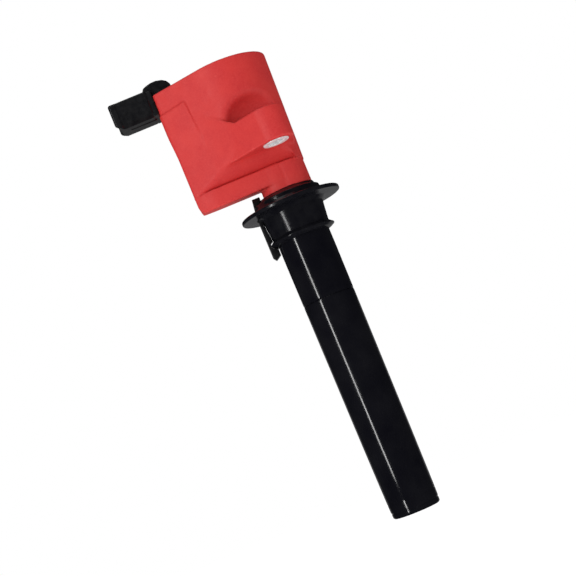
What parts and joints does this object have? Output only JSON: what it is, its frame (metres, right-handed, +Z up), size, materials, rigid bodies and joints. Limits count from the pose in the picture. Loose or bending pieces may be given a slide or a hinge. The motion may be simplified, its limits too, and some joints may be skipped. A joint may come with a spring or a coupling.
{
  "type": "ignition coil",
  "caption": "Coil-on-plug ignition coil: potted red housing with a bolt lug and side connector, a round well seal and a long black plug boot with a sprung contact.",
  "frame": {"origin": "centre of the boot mouth, on the axis of the spark plug", "axes": "+Z up the boot toward the housing, -X toward the connector, -Y toward the bolt lug"},
  "size_m": [0.0705, 0.0473, 0.19],
  "materials": {
    "red_housing": "fine-grained satin moulded red",
    "plated_steel": "bright zinc plate, turned end faces",
    "epoxy": "cast black epoxy with a slight meniscus",
    "black_plastic": "fine-grained moulded black",
    "tinned_brass": "tinned blade",
    "enamelled_copper": "enamelled copper wire",
    "core_steel": "stacked laminations",
    "magnet": "sintered",
    "ivory_plastic": "natural moulded",
    "brass": "turned brass",
    "spring_steel": "drawn wire",
    "ceramic": "glazed ceramic",
    "black_rubber": "satin moulded rubber",
    "gloss_black": "glossy black boot"
  },
  "bodies": {
    "coil": {"housing": "red_housing", "compression_bushing": "plated_steel", "potting_compound": "epoxy", "connector_shroud": "black_plastic", "terminal_carrier": "black_plastic", "terminal_pin_1": "tinned_brass", "terminal_pin_2": "tinned_brass", "primary_lead_1": "enamelled_copper", "primary_lead_2": "enamelled_copper", "outer_core": "core_steel", "centre_core": "core_steel", "core_magnet": "magnet", "primary_bobbin": "black_plastic", "primary_winding": "enamelled_copper", "secondary_bobbin": "ivory_plastic", "secondary_winding": "enamelled_copper", "hv_diode": "black_plastic", "hv_terminal": "brass", "resistor_spring": "spring_steel", "resistor_cap_upper": "brass", "suppression_resistor": "ceramic", "resistor_cap_lower": "brass", "contact_spring": "spring_steel", "flange_seal": "black_rubber", "boot_sleeve": "black_rubber", "retention_clip": "black_plastic", "boot_tube": "gloss_black", "plug_boot": "gloss_black"},
    "contact": {"plug_contact": "brass"}
  },
  "joints": [
    {"name": "contact_slide", "type": "slide", "parent": "coil", "child": "contact", "axis": [0, 0, 1], "range_m": [0, 0.005], "stiffness_N_per_m": 400, "deforming": ["contact_spring"]}
  ]
}
